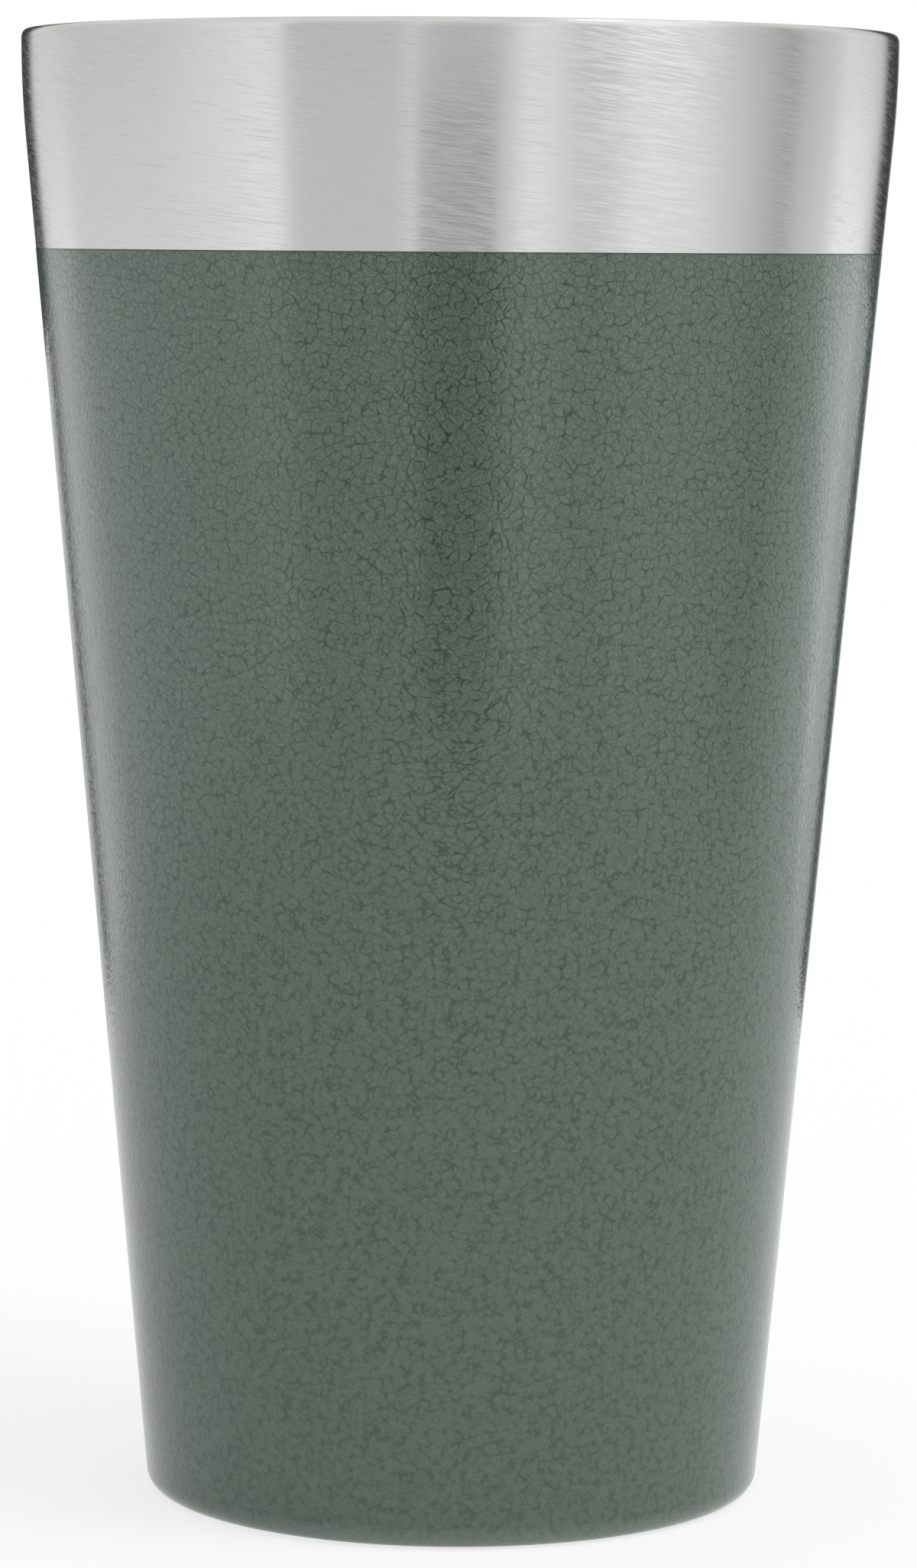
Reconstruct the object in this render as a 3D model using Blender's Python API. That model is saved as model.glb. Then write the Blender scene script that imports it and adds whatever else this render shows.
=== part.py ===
"""A double-wall vacuum pint cup, piece by piece at its real size.

Metres, +Z up. The origin is on the cup's axis, on the table that the foot stands on.
"""

import math

import bmesh
import bpy

for item in list(bpy.data.objects):
    bpy.data.objects.remove(item, do_unlink=True)

# Overall sizes
CUP_HEIGHT = 0.1545  # table to the top of the lip
RIM_DIAMETER = 0.092  # widest part, at the lip
WALL_TAPER = math.radians(5.17)  # lean of the outer wall from upright
BARREL_HEIGHT = 0.0102  # stretch below the lip where the wall bends upright
BARE_BAND = 0.0227  # lip down to the edge of the paint
LIP_CROWN = 0.0008  # height of the rounded weld on top of the two sheets

# Sheet metal
SHELL_SHEET = 0.0005
LINER_SHEET = 0.0005
FOIL_SHEET = 0.0001
VACUUM_BASE_SHEET = 0.0006
COVER_SHEET = 0.0005
STRAP_SHEET = 0.0003

# Outer shell's foot
BASE_CORNER = 0.002  # outer radius between the wall and the foot
FOOT_WIDTH = 0.004  # flat ring that stands on the table
FOOT_TURN = 0.001  # outer radius between the foot and the collar
COLLAR_STAND = 0.0004  # how far the collar rises past the vacuum base

# Inner liner
VACUUM_GAP = 0.004  # between the two walls
LIP_LAP = 0.002  # upright stretch where the liner lies against the shell
NECK_HEIGHT = 0.0115  # stretch where the liner draws in from the lip to its own cone
FLOOR_CORNER = 0.009  # outer radius between the liner's wall and its floor

# Foil wrap
FOIL_TOP_MARGIN = 0.008  # bare liner between the neck and the foil
FOIL_FOOT_MARGIN = 0.003  # bare liner between the floor corner and the foil

# Base closure
COVER_RECESS = 0.0012  # cover's face above the table
COVER_RIM = 0.002
COVER_CORNER = 0.0009
BASE_WELD_LEG = 0.0006
SKIRT_HEIGHT = 0.0026
SKIRT_CORNER = 0.0012
DIMPLE_RADIUS = 0.0065
DIMPLE_DEPTH = 0.0014
DIMPLE_LAND = 0.0022  # radius of the flat round the evacuation hole
EVACUATION_HOLE_RADIUS = 0.0008
SEAL_RADIUS = 0.0042
SEAL_SAG = 0.0005

# Getter
PELLET_RADIUS = 0.004
PELLET_HEIGHT = 0.0024
PELLET_CHAMFER = 0.0003
STRAP_WIDTH = 0.005
STRAP_FOOT = 0.0035
STRAP_BEND = 0.0006
GETTER_HEADROOM = 0.0024  # strap to the liner's floor

# Clearances
SEAM = 0.00005  # hairline between a weld or a seal and the sheets that it joins
PRESS_GAP = 0.0001  # cover pressed into the collar
WRAP_GAP = 0.0001  # foil round the liner
NEST_GAP = 0.0002  # pellet under its strap
WELD_ROOM = 0.0003  # cover's rim below the base weld

# Facets of the round forms
FACETS = 64
SMALL_FACETS = 24
BEND_FACETS = 4
SHARP_ANGLE = math.radians(35)
AXIS_WELD = 1e-6

# Sizes that follow from those above
RIM_RADIUS = RIM_DIAMETER / 2
LIP_THICKNESS = SHELL_SHEET + SEAM + LINER_SHEET
SHEET_EDGE = CUP_HEIGHT - LIP_CROWN - SEAM
PAINT_EDGE = CUP_HEIGHT - BARE_BAND
TAPER_RUN = math.tan(WALL_TAPER)
BARREL_BEND = BARREL_HEIGHT / math.sin(WALL_TAPER)
BARREL_FOOT = SHEET_EDGE - BARREL_HEIGHT
CONE_AT_TABLE = RIM_RADIUS - BARREL_BEND * (1 - math.cos(WALL_TAPER)) - TAPER_RUN * BARREL_FOOT

FOOT_OUTER = CONE_AT_TABLE + TAPER_RUN * BASE_CORNER - BASE_CORNER / math.cos(WALL_TAPER)
COLLAR_RADIUS = FOOT_OUTER - FOOT_WIDTH - FOOT_TURN
WELD_FOOT = COVER_RECESS + COVER_RIM + WELD_ROOM
SKIRT_RADIUS = COLLAR_RADIUS - SEAM
SKIRT_FOOT = WELD_FOOT + BASE_WELD_LEG + SEAM
WEB_TOP = SKIRT_FOOT + SKIRT_HEIGHT
DIMPLE_TOP = WEB_TOP + DIMPLE_DEPTH
DIMPLE_LEAN = math.atan(DIMPLE_DEPTH / (DIMPLE_RADIUS - DIMPLE_LAND))

GETTER_OFFSET = (DIMPLE_RADIUS + SKIRT_RADIUS - SKIRT_CORNER) / 2  # midway on the flat of the web
STRAP_FLOOR = WEB_TOP + SEAM
STRAP_RISE = PELLET_HEIGHT + 2 * NEST_GAP + STRAP_SHEET
FLOOR_UNDERSIDE = STRAP_FLOOR + STRAP_RISE + GETTER_HEADROOM
LINER_LIP_RADIUS = RIM_RADIUS - SHELL_SHEET - SEAM
NECK_TOP = SHEET_EDGE - LIP_LAP
NECK_FOOT = NECK_TOP - NECK_HEIGHT

# Every piece hangs on one empty on the cup's axis
cup = bpy.data.objects.new("pint_cup", None)
bpy.context.collection.objects.link(cup)


def wall_radius(height, depth=0.0):
    """Radius of the outer wall's cone at a height, or of a surface that lies a depth inside it."""
    return CONE_AT_TABLE + TAPER_RUN * height - depth / math.cos(WALL_TAPER)


def arc(centre, radius, start, end, facets=BEND_FACETS):
    """Points (radius, height) along a bend, from one angle in degrees to another."""
    points = []
    for step in range(facets + 1):
        angle = math.radians(start + (end - start) * step / facets)
        points.append((centre[0] + radius * math.cos(angle), centre[1] + radius * math.sin(angle)))
    return points


def finish(name, colour, roughness, metallic):
    """Principled material of one piece."""
    material = bpy.data.materials.new(name)
    material.use_nodes = True
    shader = material.node_tree.nodes["Principled BSDF"]
    shader.inputs["Base Color"].default_value = (*colour, 1.0)
    shader.inputs["Roughness"].default_value = roughness
    shader.inputs["Metallic"].default_value = metallic
    return material


def add_piece(name, bm, material, sheet=0.0):
    """Named object from a mesh; a sheet's thickness grows inwards from its modelled face."""
    mesh = bpy.data.meshes.new(name)
    bm.to_mesh(mesh)
    bm.free()
    mesh.shade_smooth()
    mesh.set_sharp_from_angle(angle=SHARP_ANGLE)
    mesh.materials.append(material)
    piece = bpy.data.objects.new(name, mesh)
    piece.parent = cup
    bpy.context.collection.objects.link(piece)
    if sheet:
        wall = piece.modifiers.new("sheet", "SOLIDIFY")
        wall.thickness = sheet
        wall.offset = -1.0
        wall.use_even_offset = True
    return piece


def turned(path, closed=False, facets=FACETS, missing=0):
    """Mesh of a path (radius, height) turned round the cup's axis, with some facets left out at the end."""
    bm = bmesh.new()
    points = [bm.verts.new((radius, 0.0, height)) for radius, height in path]
    edges = [bm.edges.new(pair) for pair in zip(points, points[1:])]
    if closed:
        edges.append(bm.edges.new((points[-1], points[0])))
    bmesh.ops.spin(
        bm,
        geom=points + edges,
        cent=(0.0, 0.0, 0.0),
        axis=(0.0, 0.0, 1.0),
        angle=2 * math.pi * (facets - missing) / facets,
        steps=facets - missing,
        use_merge=not missing,
    )
    bmesh.ops.remove_doubles(bm, verts=bm.verts, dist=AXIS_WELD)
    return bm


def make_outer_shell():
    """Outer wall: barrel under the lip, cone, foot turned in, and a collar that takes the base."""
    barrel_centre = (RIM_RADIUS - BARREL_BEND, SHEET_EDGE)
    taper = math.degrees(WALL_TAPER)
    path = arc(barrel_centre, BARREL_BEND, 0, -taper)
    path.append((wall_radius(PAINT_EDGE), PAINT_EDGE))
    path += arc((FOOT_OUTER, BASE_CORNER), BASE_CORNER, -taper, -90)
    path += arc((COLLAR_RADIUS + FOOT_TURN, FOOT_TURN), FOOT_TURN, -90, -180, facets=3)
    path.append((COLLAR_RADIUS, WEB_TOP + COLLAR_STAND))
    bm = turned(path)
    for face in bm.faces:
        face.material_index = int(face.calc_center_median().z < PAINT_EDGE)
    bare = finish("brushed steel band", (0.52, 0.52, 0.51), 0.32, 1.0)
    shell = add_piece("outer_shell", bm, bare, SHELL_SHEET)
    shell.data.materials.append(finish("green hammered paint", (0.105, 0.138, 0.111), 0.42, 0.35))
    shell.modifiers["sheet"].material_offset = -1


def make_inner_liner():
    """Drawn inner cup: upright at the lip, necked in to its own cone, with a round floor corner."""
    depth = SHELL_SHEET + VACUUM_GAP
    path = [(LINER_LIP_RADIUS, SHEET_EDGE), (LINER_LIP_RADIUS, NECK_TOP)]
    neck_facets = 6
    for step in range(1, neck_facets + 1):
        share = step / neck_facets
        height = NECK_TOP - NECK_HEIGHT * share
        ease = (1 - math.cos(math.pi * share)) / 2
        path.append((LINER_LIP_RADIUS * (1 - ease) + wall_radius(height, depth) * ease, height))
    corner_height = FLOOR_UNDERSIDE + FLOOR_CORNER
    corner_radius = wall_radius(corner_height, depth + FLOOR_CORNER)
    path += arc((corner_radius, corner_height), FLOOR_CORNER, -math.degrees(WALL_TAPER), -90, facets=6)
    path.append((0.0, FLOOR_UNDERSIDE))
    add_piece("inner_liner", turned(path), finish("satin steel", (0.55, 0.55, 0.54), 0.3, 1.0), LINER_SHEET)


def make_rim_weld():
    """Closing weld of the two walls, ground to an oval lip."""
    half_width = LIP_THICKNESS / 2
    section = []
    for radius, height in arc((0.0, 0.0), 1.0, 180, 0, facets=6):
        section.append((RIM_RADIUS - half_width * (1 - radius), SHEET_EDGE + SEAM + LIP_CROWN * height))
    add_piece("rim_weld", turned(section, closed=True), finish("polished weld", (0.58, 0.58, 0.57), 0.2, 1.0))


def make_radiation_foil():
    """Foil round the liner's cone inside the vacuum, with a butt gap where its ends meet."""
    depth = SHELL_SHEET + VACUUM_GAP - WRAP_GAP - FOIL_SHEET
    top = NECK_FOOT - FOIL_TOP_MARGIN
    foot = FLOOR_UNDERSIDE + FLOOR_CORNER + FOIL_FOOT_MARGIN
    path = [(wall_radius(top, depth), top), (wall_radius(foot, depth), foot)]
    copper = finish("copper foil", (0.72, 0.36, 0.22), 0.25, 1.0)
    add_piece("radiation_foil", turned(path, missing=1), copper, FOIL_SHEET)


def make_vacuum_base():
    """Pressed disc that closes the shell: skirt in the collar, web, and a dimple round the evacuation hole."""
    path = [(EVACUATION_HOLE_RADIUS, DIMPLE_TOP), (DIMPLE_LAND, DIMPLE_TOP), (DIMPLE_RADIUS, WEB_TOP)]
    path += arc((SKIRT_RADIUS - SKIRT_CORNER, WEB_TOP - SKIRT_CORNER), SKIRT_CORNER, 90, 0, facets=3)
    path.append((SKIRT_RADIUS, SKIRT_FOOT))
    steel = finish("mill steel", (0.46, 0.46, 0.45), 0.42, 1.0)
    add_piece("vacuum_base", turned(path), steel, VACUUM_BASE_SHEET)


def make_base_weld():
    """Fillet weld in the corner between the vacuum base's skirt and the shell's collar."""
    top = WELD_FOOT + BASE_WELD_LEG
    section = [(SKIRT_RADIUS - BASE_WELD_LEG, top), (SKIRT_RADIUS, top), (SKIRT_RADIUS, WELD_FOOT)]
    add_piece("base_weld", turned(section, closed=True), finish("weld bead", (0.4, 0.39, 0.38), 0.5, 1.0))


def make_seal_bead():
    """Solder glass that ran into the dimple and half way up the evacuation hole."""
    drop = VACUUM_BASE_SHEET + SEAM
    crown = DIMPLE_TOP - drop
    crown_radius = DIMPLE_LAND - drop * math.tan(DIMPLE_LEAN / 2)
    stub_radius = EVACUATION_HOLE_RADIUS - SEAM
    stub_top = DIMPLE_TOP - VACUUM_BASE_SHEET / 2
    rim = crown - math.tan(DIMPLE_LEAN) * (SEAL_RADIUS - crown_radius)
    path = [(0.0, stub_top), (stub_radius, stub_top), (stub_radius, crown)]
    path += [(crown_radius, crown), (SEAL_RADIUS, rim)]
    sag_facets = 3
    for step in range(1, sag_facets + 1):
        angle = math.pi / 2 * step / sag_facets
        path.append((SEAL_RADIUS * math.cos(angle), rim - SEAL_SAG * math.sin(angle)))
    glass = finish("solder glass", (0.16, 0.15, 0.12), 0.15, 0.0)
    add_piece("seal_bead", turned(path, facets=SMALL_FACETS), glass)


def make_getter_holder():
    """Strap bent over the getter, with a foot at each end that is spot-welded to the vacuum base."""
    leg = PELLET_RADIUS + NEST_GAP + STRAP_SHEET
    half_span = leg + STRAP_FOOT
    path = [(-half_span, STRAP_SHEET), (-leg, STRAP_SHEET), (-leg, STRAP_RISE)]
    path += [(-along, height) for along, height in reversed(path)]
    bm = bmesh.new()
    points = [bm.verts.new((along, -STRAP_WIDTH / 2, height)) for along, height in path]
    edges = [bm.edges.new(pair) for pair in zip(points, points[1:])]
    side = bmesh.ops.extrude_edge_only(bm, edges=edges)["geom"]
    moved = [item for item in side if isinstance(item, bmesh.types.BMVert)]
    bmesh.ops.translate(bm, verts=moved, vec=(0.0, STRAP_WIDTH, 0.0))
    bends = [edge for edge in bm.edges if len(edge.link_faces) == 2]
    bmesh.ops.bevel(
        bm, geom=bends, offset=STRAP_BEND, segments=3, profile=0.5, affect="EDGES", material=-1
    )
    bmesh.ops.recalc_face_normals(bm, faces=bm.faces)
    holder = add_piece("getter_holder", bm, finish("strap steel", (0.5, 0.5, 0.49), 0.35, 1.0), STRAP_SHEET)
    holder.location = (0.0, GETTER_OFFSET, STRAP_FLOOR)


def make_getter_pellet():
    """Pressed getter disc under the strap."""
    bm = bmesh.new()
    bmesh.ops.create_cone(
        bm,
        cap_ends=True,
        segments=SMALL_FACETS,
        radius1=PELLET_RADIUS,
        radius2=PELLET_RADIUS,
        depth=PELLET_HEIGHT,
    )
    rims = [edge for edge in bm.edges if abs(edge.verts[0].co.z - edge.verts[1].co.z) < AXIS_WELD]
    bmesh.ops.bevel(
        bm, geom=rims, offset=PELLET_CHAMFER, segments=1, profile=0.5, affect="EDGES", material=-1
    )
    pellet = add_piece("getter_pellet", bm, finish("getter alloy", (0.12, 0.12, 0.13), 0.7, 0.4))
    pellet.location = (0.0, GETTER_OFFSET, STRAP_FLOOR + NEST_GAP + PELLET_HEIGHT / 2)


def make_base_cover():
    """Plain pressed disc in the foot's recess, its rim turned up and pressed into the collar."""
    outer = COLLAR_RADIUS - PRESS_GAP
    path = [(outer, COVER_RECESS + COVER_RIM)]
    path += arc((outer - COVER_CORNER, COVER_RECESS + COVER_CORNER), COVER_CORNER, 0, -90, facets=3)
    path.append((0.0, COVER_RECESS))
    add_piece("base_cover", turned(path), finish("spun steel", (0.5, 0.5, 0.49), 0.34, 1.0), COVER_SHEET)


make_outer_shell()
make_inner_liner()
make_rim_weld()
make_radiation_foil()
make_vacuum_base()
make_base_weld()
make_seal_bead()
make_getter_holder()
make_getter_pellet()
make_base_cover()
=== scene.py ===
"""Looks of a double-wall vacuum pint cup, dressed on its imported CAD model.

Metres, +Z up. The cup's axis is Z, and it stands on the plane z = 0.
"""

import math

import bmesh
import bpy
from mathutils import Matrix, Vector, noise


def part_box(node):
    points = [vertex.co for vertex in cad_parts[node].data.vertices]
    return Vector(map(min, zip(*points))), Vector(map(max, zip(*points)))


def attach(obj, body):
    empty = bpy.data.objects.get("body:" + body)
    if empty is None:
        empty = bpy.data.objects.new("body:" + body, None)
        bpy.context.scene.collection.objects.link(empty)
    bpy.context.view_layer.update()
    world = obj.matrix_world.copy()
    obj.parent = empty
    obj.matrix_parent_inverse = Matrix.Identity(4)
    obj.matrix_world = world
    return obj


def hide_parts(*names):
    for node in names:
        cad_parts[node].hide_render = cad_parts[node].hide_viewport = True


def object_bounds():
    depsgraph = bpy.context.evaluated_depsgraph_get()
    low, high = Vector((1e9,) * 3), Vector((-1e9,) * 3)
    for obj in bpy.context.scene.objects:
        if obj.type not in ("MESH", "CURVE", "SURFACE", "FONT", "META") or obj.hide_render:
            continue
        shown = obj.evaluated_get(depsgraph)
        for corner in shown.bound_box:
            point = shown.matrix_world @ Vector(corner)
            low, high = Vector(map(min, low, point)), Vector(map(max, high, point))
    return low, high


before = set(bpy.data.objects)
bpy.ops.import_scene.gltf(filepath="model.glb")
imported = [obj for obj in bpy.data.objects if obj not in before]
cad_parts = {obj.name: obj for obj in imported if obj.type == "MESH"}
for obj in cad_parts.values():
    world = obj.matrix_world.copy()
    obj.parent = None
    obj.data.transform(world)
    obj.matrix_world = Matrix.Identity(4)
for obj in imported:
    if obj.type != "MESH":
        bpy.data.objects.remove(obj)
cad_low, cad_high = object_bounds()

# Inner liner: the cup that holds the drink, deep-drawn from one 0.5 mm sheet of stainless steel.
# Its mouth stands upright against the outer shell, a neck draws it in to a cone that runs parallel to the
# shell's, and the floor is flat with a round corner. It is brushed to a satin while it turns.
MM = 0.001
LINER_SHEET = 0.5 * MM
SHELL_SHEET = 0.5 * MM
VACUUM_GAP = 4 * MM  # between the two walls
WALL_TAPER = math.radians(5.17)  # lean of the walls from upright
BARREL_HEIGHT = 10.2 * MM  # stretch below the lip where the outer wall bends upright
LIP_LAP = 2 * MM  # upright stretch where the liner lies against the shell
NECK_HEIGHT = 11.5 * MM
NECK_FACETS = 24
FLOOR_CORNER = 9 * MM
MERGE_DISTANCE = 0.001 * MM
SHARP_ANGLE = math.radians(40)
SCRATCH_DEPTH = 0.01 * MM
COARSE_TIMES = 3  # how much longer and wider the coarse scratches are than the fine ones
COARSE_SHARE = 0.2
LINER_STEEL = "#CDCDCB"

rim_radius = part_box("outer_shell")[1].x
sheet_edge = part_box("outer_shell")[1].z
barrel_bend = BARREL_HEIGHT / math.sin(WALL_TAPER)
barrel_foot = sheet_edge - BARREL_HEIGHT
lip_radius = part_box("inner_liner")[1].x
floor_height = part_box("inner_liner")[0].z
neck_top = sheet_edge - LIP_LAP
taper = math.degrees(WALL_TAPER)


def wall_radius(height, depth=0.0):
    """Radius of the outer wall's cone at a height, or of a surface that lies a depth inside it."""
    at_bend = rim_radius - barrel_bend * (1 - math.cos(WALL_TAPER))
    return at_bend - math.tan(WALL_TAPER) * (barrel_foot - height) - depth / math.cos(WALL_TAPER)


def arc(centre, radius, start, end, facets):
    """Points (radius, height) along a bend, from one angle in degrees to another."""
    points = []
    for step in range(facets + 1):
        angle = math.radians(start + (end - start) * step / facets)
        points.append((centre[0] + radius * math.cos(angle), centre[1] + radius * math.sin(angle)))
    return points


def turned(section, steps, angle=2 * math.pi, closed=True):
    """Mesh of a section (radius, height) turned round the cup's axis, once round unless an angle is given.
    A closed section has its ends joined, unless both lie on the axis."""
    bm = bmesh.new()
    corners = [bm.verts.new((radius, 0.0, height)) for radius, height in section]
    pairs = list(zip(corners, corners[1:]))
    if closed and max(section[0][0], section[-1][0]) > 0:
        pairs.append((corners[-1], corners[0]))
    edges = [bm.edges.new(pair) for pair in pairs if max(pair[0].co.x, pair[1].co.x) > 0]
    bmesh.ops.spin(
        bm,
        geom=corners + edges,
        cent=(0, 0, 0),
        axis=(0, 0, 1),
        angle=angle,
        steps=steps,
        use_merge=angle == 2 * math.pi,
    )
    bmesh.ops.remove_doubles(bm, verts=bm.verts, dist=MERGE_DISTANCE)
    bmesh.ops.recalc_face_normals(bm, faces=bm.faces)
    return bm


def add_object(name, bm, material):
    """Named object of one material from a mesh."""
    mesh = bpy.data.meshes.new(name)
    bm.to_mesh(mesh)
    bm.free()
    mesh.materials.append(material)
    made = bpy.data.objects.new(name, mesh)
    bpy.context.scene.collection.objects.link(made)
    return made


def add_piece(name, bm, material):
    """Smooth piece of the cup from a mesh, riding on the cup's one body."""
    piece = add_object(name, bm, material)
    piece.data.shade_smooth()
    piece.data.set_sharp_from_angle(angle=SHARP_ANGLE)
    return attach(piece, "root")


def linear(hex_colour):
    """Linear RGBA of an sRGB hex colour."""
    channels = [int(hex_colour[i : i + 2], 16) / 255 for i in (1, 3, 5)]
    return [c / 12.92 if c <= 0.04045 else ((c + 0.055) / 1.055) ** 2.4 for c in channels] + [1.0]


def feed(made, inputs):
    """Gives each input of a node a value, or a link from a socket or from another node's first output."""
    for socket, value in inputs.items():
        if isinstance(value, bpy.types.Node):
            value = next(output for output in value.outputs if output.enabled)
        if isinstance(value, bpy.types.NodeSocket):
            made.id_data.links.new(value, made.inputs[socket])
        else:
            made.inputs[socket].default_value = value


def node(tree, kind, inputs=None, **settings):
    """Adds a node with its settings and feeds its inputs."""
    made = tree.nodes.new("ShaderNode" + kind)
    for name, value in settings.items():
        setattr(made, name, value)
    feed(made, inputs or {})
    return made


def start_material(name):
    """A new material with its node tree and its Principled shader."""
    material = bpy.data.materials.new(name)
    material.use_nodes = True
    return material, material.node_tree, material.node_tree.nodes["Principled BSDF"]


def brushed_steel(name, colour, roughness, scatter, streak_length, streak_width, lead):
    """Stainless steel brushed while it turns: its lines wind down by a lead per radian, and they stretch
    its highlights across them, along the profile. Its scratches are rougher than the rest by a scatter,
    and the brightest of them are lightened in colour as painted glints.
    Real scratches are finer than these, which are drawn as coarse as they need to show."""
    material, tree, shader = start_material(name)
    place = node(tree, "TexCoord").outputs["Object"]
    axes = node(tree, "SeparateXYZ", {0: place}).outputs
    flat = node(tree, "VectorMath", {0: place, 1: (1, 1, 0)}, operation="MULTIPLY")
    from_axis = node(tree, "VectorMath", {0: flat}, operation="LENGTH")
    run = node(tree, "Math", {0: axes["Z"], 1: from_axis}, operation="ADD")
    front = node(tree, "Math", {0: axes["Y"], 1: -1.0}, operation="MULTIPLY")
    turn = node(tree, "Math", {0: axes["X"], 1: front}, operation="ARCTAN2")
    wind = node(tree, "Math", {0: run, 1: 1 / lead, 2: turn}, operation="MULTIPLY_ADD")
    # As a cosine and a sine the winding closes behind the cup, so that the lines have no seam.
    across = [node(tree, "Math", {0: wind}, operation=way) for way in ("COSINE", "SINE")]
    streaks = []
    for times in (1, COARSE_TIMES):
        length, width = streak_length * times, streak_width * times
        scaled = [node(tree, "Math", {0: part, 1: lead / width}, operation="MULTIPLY") for part in across]
        along = node(tree, "VectorMath", {0: flat, 1: (1 / length, 1 / length, 0)}, operation="MULTIPLY")
        lifted = node(tree, "CombineXYZ", {"Z": scaled[0]})
        spot = node(tree, "VectorMath", {0: along, 1: lifted}, operation="ADD")
        streak = {"Vector": spot, "W": scaled[1], "Scale": 1.0, "Detail": 2.0}
        streaks.append(node(tree, "TexNoise", streak, noise_dimensions="4D"))
    grain = node(tree, "Mix", {"Factor": COARSE_SHARE, "A": streaks[0], "B": streaks[1]}, data_type="FLOAT")
    scratched = roughness * scatter
    rough = node(
        tree,
        "MapRange",
        {"Value": grain, "From Min": 0.45, "From Max": 0.7, "To Min": roughness, "To Max": scratched},
    )
    # Colour tone: it varies at random, and it is lifted on the brightest scratches as a painted glint.
    tone_and_glint = node(
        tree,
        "MapRange",
        {"Value": grain, "From Min": 0.45, "From Max": 0.85, "To Min": 0.98, "To Max": 1.12},
    )
    tinted = node(tree, "VectorMath", {0: linear(colour)[:3], "Scale": tone_and_glint}, operation="SCALE")
    relief = node(tree, "Bump", {"Height": grain, "Strength": 0.12, "Distance": SCRATCH_DEPTH})
    round_axis = node(tree, "VectorMath", {0: (0, 0, 1), 1: place}, operation="CROSS_PRODUCT")
    feed(
        shader,
        {
            "Base Color": tinted,
            "Roughness": rough,
            "Normal": relief,
            "Tangent": round_axis,
            "Metallic": 1.0,
            "Anisotropic": 0.95,
            "Anisotropic Rotation": 0.25,
        },
    )
    return material


def liner_face(sheet):
    """Points of the liner's outer face, or of a face that lies a sheet inside it, from lip to axis."""
    points = [(lip_radius - sheet, sheet_edge), (lip_radius - sheet, neck_top)]
    depth = SHELL_SHEET + VACUUM_GAP + sheet
    for step in range(1, NECK_FACETS + 1):
        height = neck_top - NECK_HEIGHT * step / NECK_FACETS
        ease = (1 - math.cos(math.pi * step / NECK_FACETS)) / 2
        points.append(((lip_radius - sheet) * (1 - ease) + wall_radius(height, depth) * ease, height))
    corner = floor_height + FLOOR_CORNER
    centre = (wall_radius(corner, SHELL_SHEET + VACUUM_GAP + FLOOR_CORNER), corner)
    points += arc(centre, FLOOR_CORNER - sheet, -taper, -90, facets=20)
    points.append((0.0, floor_height + sheet))
    return points


liner_section = liner_face(0.0) + liner_face(LINER_SHEET)[::-1]
# Satin stainless steel: a soft grey, with long fine lines that show only as a sheen round the wall.
liner_metal = brushed_steel(
    "satin stainless steel",
    LINER_STEEL,
    roughness=0.28,
    scatter=1.35,
    streak_length=25 * MM,
    streak_width=0.16 * MM,
    lead=2 * MM,
)
liner = add_piece("liner_cup", turned(liner_section, steps=192), liner_metal)
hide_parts("inner_liner")

# Radiation foil: copper foil wrapped once round the liner's cone inside the vacuum, where it throws back
# heat. Its two ends nearly meet, and handling left it with soft creases that stand off the liner.
FOIL_SHEET = 0.1 * MM
WRAP_GAP = 0.1 * MM
WRAP_ANGLE = math.radians(354.375)
FOIL_ROWS = 90
CREASE_SPACING = 11 * MM
CREASE_HEIGHT = 0.3 * MM
CREASE_SHARPNESS = 4
ROLL_LENGTH = 33 * MM
ROLL_WIDTH = 0.4 * MM  # coarser than the real grain, so that it shows
TARNISH_SIZE = 14 * MM
FOIL_BRIGHT = "#DDA281"
FOIL_TARNISHED = "#CB8E6C"

foil_low, foil_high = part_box("radiation_foil")
foil_depth = SHELL_SHEET + VACUUM_GAP - WRAP_GAP - FOIL_SHEET
foil_path = []
for row in range(FOIL_ROWS + 1):
    height = foil_high.z + (foil_low.z - foil_high.z) * row / FOIL_ROWS
    foil_path.append((wall_radius(height, foil_depth), height))
foil_bm = turned(foil_path, steps=240, angle=WRAP_ANGLE, closed=False)
for corner in foil_bm.verts:
    outward = Vector((corner.co.x, corner.co.y, 0)).normalized()
    crease = 1 - abs(noise.noise(corner.co / CREASE_SPACING))
    corner.co += outward * CREASE_HEIGHT * crease**CREASE_SHARPNESS

# Copper foil: bright, warm and rolled smooth, with a faint lengthwise grain from the rollers.
foil_metal, tree, shader = start_material("rolled copper foil")
place = node(tree, "TexCoord").outputs["Object"]
roll_scale = (1 / ROLL_LENGTH, 1 / ROLL_LENGTH, 1 / ROLL_WIDTH)
stretched = node(tree, "Mapping", {"Vector": place, "Scale": roll_scale})
rolling = node(tree, "TexNoise", {"Vector": stretched, "Scale": 1.0, "Detail": 2.0})
rough = node(tree, "MapRange", {"Value": rolling, "To Min": 0.16, "To Max": 0.34})
tarnish = node(tree, "TexNoise", {"Vector": place, "Scale": 1 / TARNISH_SIZE, "Detail": 3.0})
warmth = node(
    tree,
    "Mix",
    {"Factor": tarnish, "A": linear(FOIL_BRIGHT), "B": linear(FOIL_TARNISHED)},
    data_type="RGBA",
)
feed(shader, {"Base Color": warmth, "Roughness": rough, "Metallic": 1.0})
foil = add_piece("copper_wrap", foil_bm, foil_metal)
thickness = foil.modifiers.new("foil", "SOLIDIFY")
thickness.thickness = FOIL_SHEET
thickness.offset = -1.0
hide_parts("radiation_foil")

# Outer shell, bare band: the top of the tapered outer wall, drawn from 0.5 mm stainless steel sheet.
# The wall curves upright under the lip. A belt brushed it while it turned, so fine short scratches wind
# round it, downhill to the right.
BARE_BAND = 22.7 * MM
BRUSH_LEAD = 6 * MM
BAND_STEEL = "#CACACA"

paint_edge = cad_high.z - BARE_BAND
barrel_centre = (rim_radius - barrel_bend, sheet_edge)
band_section = [(wall_radius(paint_edge), paint_edge)]
band_section += arc(barrel_centre, barrel_bend, -taper, 0, facets=16)
band_section += arc(barrel_centre, barrel_bend - SHELL_SHEET, 0, -taper, facets=16)
band_section.append((wall_radius(paint_edge, SHELL_SHEET), paint_edge))
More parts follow.
